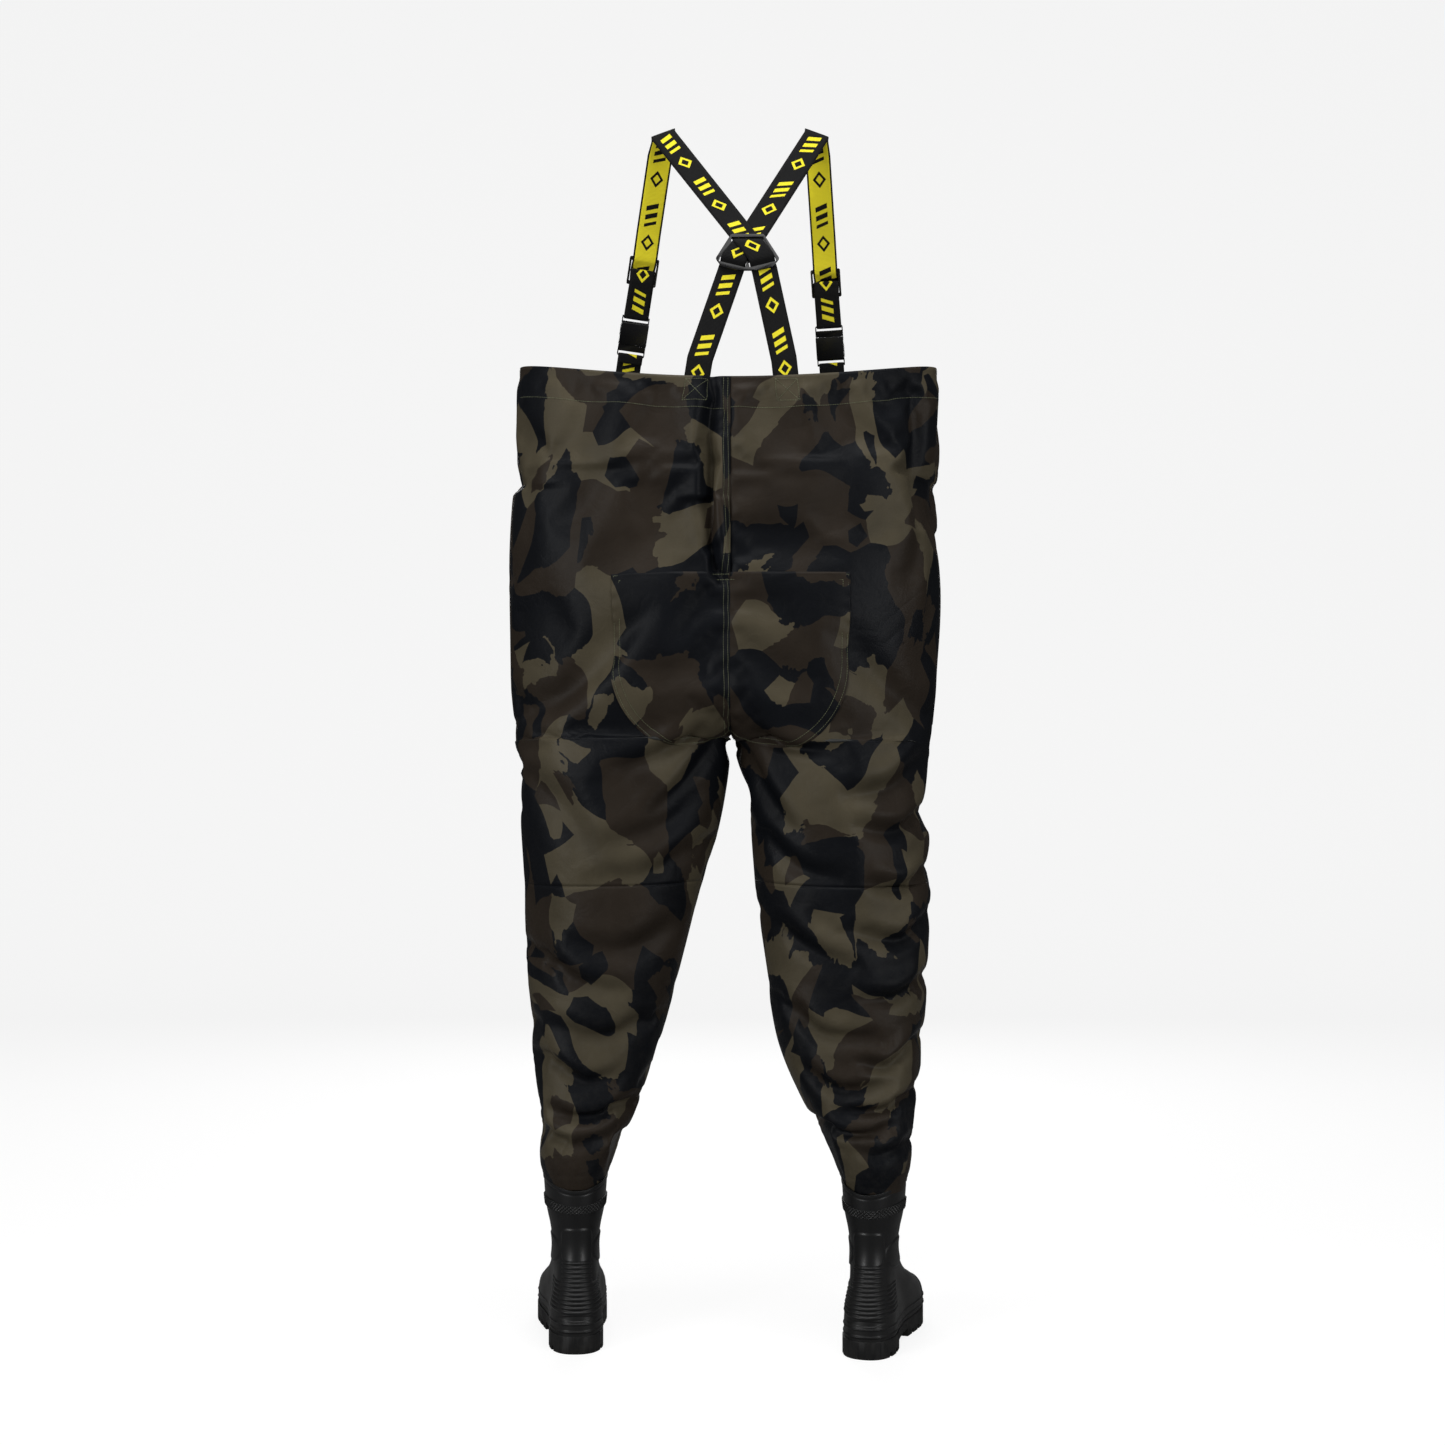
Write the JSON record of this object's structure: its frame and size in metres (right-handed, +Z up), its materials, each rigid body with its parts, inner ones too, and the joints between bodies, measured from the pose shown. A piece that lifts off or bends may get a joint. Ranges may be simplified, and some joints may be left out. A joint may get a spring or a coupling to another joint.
{
  "type": "chest waders",
  "caption": "Bib-height waterproof camouflage waders with welded boots, crossed elastic shoulder straps, a cross plate, ladder slides and side-release buckles.",
  "frame": {"origin": "midpoint between the two shoulder folds of the straps, where the waders hang", "axes": "+X to the wearer's right, +Y to the wearer's front (the toes point along it), +Z up"},
  "size_m": [0.6371, 0.3206, 1.8321],
  "materials": {
    "camouflage_cloth": "coated satin cloth",
    "seam_cloth": "coated satin cloth, felled and stitched",
    "elastic_webbing": "woven elastic, black with a yellow motif",
    "moulded_plastic": "satin black",
    "boot_rubber": "semi-gloss black",
    "sole_rubber": "matt black",
    "insole_felt": "felt"
  },
  "bodies": {
    "garment": {"back_panel_left": "camouflage_cloth", "back_panel_right": "camouflage_cloth", "front_panel_left": "camouflage_cloth", "front_panel_right": "camouflage_cloth", "hem_facing": "camouflage_cloth", "back_seam_strip": "seam_cloth", "front_seam_strip": "seam_cloth", "side_seam_left": "seam_cloth", "side_seam_right": "seam_cloth", "seat_patch_left": "camouflage_cloth", "seat_patch_right": "camouflage_cloth", "strap_back_left": "elastic_webbing", "strap_back_right": "elastic_webbing", "strap_front_left": "elastic_webbing", "strap_front_right": "elastic_webbing", "strap_tab_left": "elastic_webbing", "strap_tab_right": "elastic_webbing", "buckle_base_left": "moulded_plastic", "buckle_socket_right": "moulded_plastic"},
    "cross_plate": {"cross_plate": "moulded_plastic"},
    "buckle_left_upper": {"buckle_socket_left": "moulded_plastic", "strap_tail_left": "elastic_webbing"},
    "buckle_right_upper": {"buckle_base_right": "moulded_plastic", "strap_tail_right": "elastic_webbing"},
    "ladder_slide_left": {"ladder_slide_left": "moulded_plastic"},
    "ladder_slide_right": {"ladder_slide_right": "moulded_plastic"},
    "prong_left_a": {"prong_left_a": "moulded_plastic"},
    "prong_left_b": {"prong_left_b": "moulded_plastic"},
    "thigh_left": {"thigh_back_left": "camouflage_cloth", "thigh_front_left": "camouflage_cloth"},
    "shin_left": {"shin_back_left": "camouflage_cloth", "shin_front_left": "camouflage_cloth", "cuff_band_left": "seam_cloth", "boot_upper_left": "boot_rubber", "collar_band_left": "boot_rubber", "outsole_left": "sole_rubber", "insole_left": "insole_felt"},
    "prong_right_a": {"prong_right_a": "moulded_plastic"},
    "prong_right_b": {"prong_right_b": "moulded_plastic"},
    "thigh_right": {"thigh_back_right": "camouflage_cloth", "thigh_front_right": "camouflage_cloth"},
    "shin_right": {"shin_back_right": "camouflage_cloth", "shin_front_right": "camouflage_cloth", "cuff_band_right": "seam_cloth", "boot_upper_right": "boot_rubber", "collar_band_right": "boot_rubber", "outsole_right": "sole_rubber", "insole_right": "insole_felt"}
  },
  "joints": [
    {"name": "hip_left", "type": "hinge", "parent": "garment", "child": "thigh_left", "pos_m": [-0.1955, 0.012, -1.047], "axis": [1, 0, 0], "range_deg": [-15, 45]},
    {"name": "knee_left", "type": "hinge", "parent": "thigh_left", "child": "shin_left", "pos_m": [-0.2155, 0.015, -1.312], "axis": [1, 0, 0], "range_deg": [-60, 0]},
    {"name": "buckle_left_release", "type": "slide", "parent": "garment", "child": "buckle_left_upper", "axis": [0.1581, -0.2539, 0.9542], "range_m": [0, 0.03], "deforming": ["strap_front_left", "strap_back_left"]},
    {"name": "ladder_slide_left_adjust", "type": "slide", "parent": "buckle_left_upper", "child": "ladder_slide_left", "axis": [0.1581, -0.2539, 0.9542], "range_m": [-0.03, 0.12], "deforming": ["strap_tail_left"]},
    {"name": "prong_left_a_squeeze", "type": "hinge", "parent": "garment", "child": "prong_left_a", "pos_m": [-0.17812, 0.08865, -0.31181], "axis": [-0.1503, 0.9489, 0.2774], "range_deg": [0, 13]},
    {"name": "prong_left_b_squeeze", "type": "hinge", "parent": "garment", "child": "prong_left_b", "pos_m": [-0.15665, 0.09277, -0.31428], "axis": [-0.1503, 0.9489, 0.2774], "range_deg": [-13, 0]},
    {"name": "hip_right", "type": "hinge", "parent": "garment", "child": "thigh_right", "pos_m": [0.1645, -0.004, -1.047], "axis": [1, 0, 0], "range_deg": [-15, 45]},
    {"name": "knee_right", "type": "hinge", "parent": "thigh_right", "child": "shin_right", "pos_m": [0.1845, -0.008, -1.312], "axis": [1, 0, 0], "range_deg": [-60, 0]},
    {"name": "buckle_right_release", "type": "slide", "parent": "garment", "child": "buckle_right_upper", "axis": [-0.0785, -0.2558, 0.9635], "range_m": [0, 0.03], "deforming": ["strap_front_right", "strap_back_right"]},
    {"name": "ladder_slide_right_adjust", "type": "slide", "parent": "buckle_right_upper", "child": "ladder_slide_right", "axis": [-0.0785, -0.2558, 0.9635], "range_m": [-0.03, 0.12], "deforming": ["strap_tail_right"]},
    {"name": "prong_right_a_squeeze", "type": "hinge", "parent": "buckle_right_upper", "child": "prong_right_a", "pos_m": [0.15145, 0.08573, -0.30157], "axis": [0.1508, 0.9524, 0.2651], "range_deg": [0, 13]},
    {"name": "prong_right_b_squeeze", "type": "hinge", "parent": "buckle_right_upper", "child": "prong_right_b", "pos_m": [0.12977, 0.08939, -0.30236], "axis": [0.1508, 0.9524, 0.2651], "range_deg": [-13, 0]},
    {"name": "cross_plate_slide", "type": "slide", "parent": "garment", "child": "cross_plate", "axis": [0, 0.2588, 0.9659], "range_m": [-0.03, 0.03]}
  ],
  "couplings": [
    {"joint": "prong_left_a_squeeze", "follows": "buckle_left_release", "rad_per_m": 7.56},
    {"joint": "prong_left_b_squeeze", "follows": "buckle_left_release", "rad_per_m": -7.56},
    {"joint": "prong_right_a_squeeze", "follows": "buckle_right_release", "rad_per_m": 7.56},
    {"joint": "prong_right_b_squeeze", "follows": "buckle_right_release", "rad_per_m": -7.56}
  ]
}
